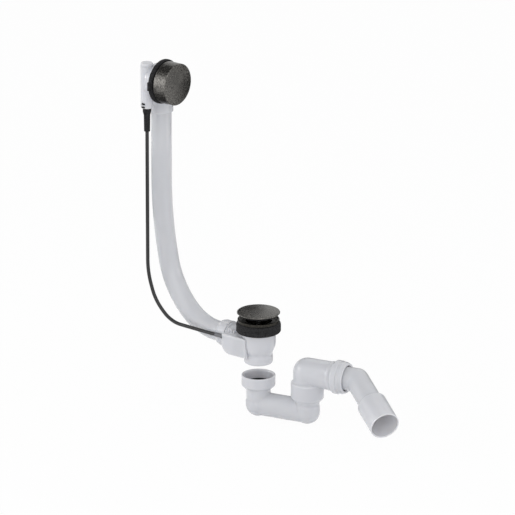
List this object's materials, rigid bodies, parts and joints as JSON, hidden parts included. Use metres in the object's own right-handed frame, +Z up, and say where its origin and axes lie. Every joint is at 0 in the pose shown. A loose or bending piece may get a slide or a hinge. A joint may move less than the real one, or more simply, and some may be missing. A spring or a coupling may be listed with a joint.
{
  "type": "bath waste and overflow",
  "caption": "Bath waste and overflow set: a round knob turns a cable drive that lifts the plug, with overflow pipe, waste body and a low trap with an angled outlet.",
  "frame": {"origin": "on the waste's axis, at the underside of the flange rim, where it seats on the bath", "axes": "+Z up along the waste's axis, +X from the overflow towards the waste and outlet, the control cable on the -Y side"},
  "size_m": [0.5188, 0.1227, 0.5909],
  "materials": {
    "white_plastic": "moulded, semi-gloss",
    "gunmetal": "brushed gunmetal",
    "black_rubber": "matt",
    "cable_black": "satin",
    "grey_plastic": "moulded",
    "steel": "plain"
  },
  "bodies": {
    "waste": {"waste_body": "white_plastic", "lever_cover": "white_plastic", "waste_flange": "gunmetal", "waste_gasket": "black_rubber", "pipe_union_nut": "white_plastic", "pipe_lower_seal": "black_rubber", "overflow_pipe": "white_plastic", "pipe_upper_seal": "black_rubber", "overflow_body": "white_plastic", "housing_cap": "white_plastic", "gearbox_lid": "white_plastic", "overflow_gasket": "black_rubber", "overflow_faceplate": "grey_plastic", "faceplate_screws": "steel", "cable_boot": "black_rubber", "cable_sheath": "cable_black", "cable_ferrule": "grey_plastic"},
    "knob": {"rotary_knob": "gunmetal", "knob_grub_screw": "steel", "drive_spindle": "steel", "drive_pinion": "grey_plastic"},
    "rack": {"drive_rack": "grey_plastic"},
    "cable_core": {"cable_core_end": "steel"},
    "lever": {"lift_lever": "steel", "lever_shaft": "steel", "cable_crank": "steel"},
    "plug": {"plug_cap": "gunmetal", "plug_seal": "black_rubber", "plug_stem": "steel"},
    "trap_coupling": {"trap_inlet_nut": "white_plastic", "trap_inlet_seal": "black_rubber"},
    "trap": {"trap_base": "white_plastic"},
    "elbow": {"trap_elbow": "white_plastic", "riser_seal": "black_rubber", "outlet_nut": "white_plastic", "outlet_seal": "black_rubber"},
    "outlet": {"outlet_bend": "white_plastic"}
  },
  "joints": [
    {"name": "knob_turn", "type": "hinge", "parent": "waste", "child": "knob", "pos_m": [-0.178, -0.0228, 0.3875], "axis": [1, 0, 0], "range_deg": [0, 65.92]},
    {"name": "rack_slide", "type": "slide", "parent": "waste", "child": "rack", "axis": [0, 0, 1], "range_m": [-0.0093, 0]},
    {"name": "core_slide", "type": "slide", "parent": "waste", "child": "cable_core", "axis": [1, 0, 0], "range_m": [0, 0.0093]},
    {"name": "lever_turn", "type": "hinge", "parent": "waste", "child": "lever", "pos_m": [-0.018, 0, -0.0509], "axis": [0, 1, 0], "range_deg": [0, 26.6]},
    {"name": "plug_lift", "type": "slide", "parent": "waste", "child": "plug", "axis": [0, 0, 1], "range_m": [-0.0081, 0]},
    {"name": "trap_fit", "type": "slide", "parent": "waste", "child": "trap_coupling", "axis": [0, 0, 1], "range_m": [0, 0.034]},
    {"name": "trap_swivel", "type": "hinge", "parent": "trap_coupling", "child": "trap", "pos_m": [0, 0, -0.105], "axis": [0, 0, 1], "range_deg": [-60, 60]},
    {"name": "elbow_swivel", "type": "hinge", "parent": "trap", "child": "elbow", "pos_m": [0.08843, 0.01879, -0.11], "axis": [0, 0, 1], "range_deg": [-60, 60]},
    {"name": "outlet_roll", "type": "hinge", "parent": "elbow", "child": "outlet", "pos_m": [0.17792, 0.03782, -0.075], "axis": [0.9781, 0.2079, 0], "continuous": true}
  ],
  "couplings": [
    {"joint": "rack_slide", "follows": "knob_turn", "m_per_rad": -0.008},
    {"joint": "core_slide", "follows": "knob_turn", "m_per_rad": 0.008},
    {"joint": "lever_turn", "follows": "knob_turn", "ratio": 0.4009},
    {"joint": "plug_lift", "follows": "knob_turn", "m_per_rad": -0.0069538}
  ]
}
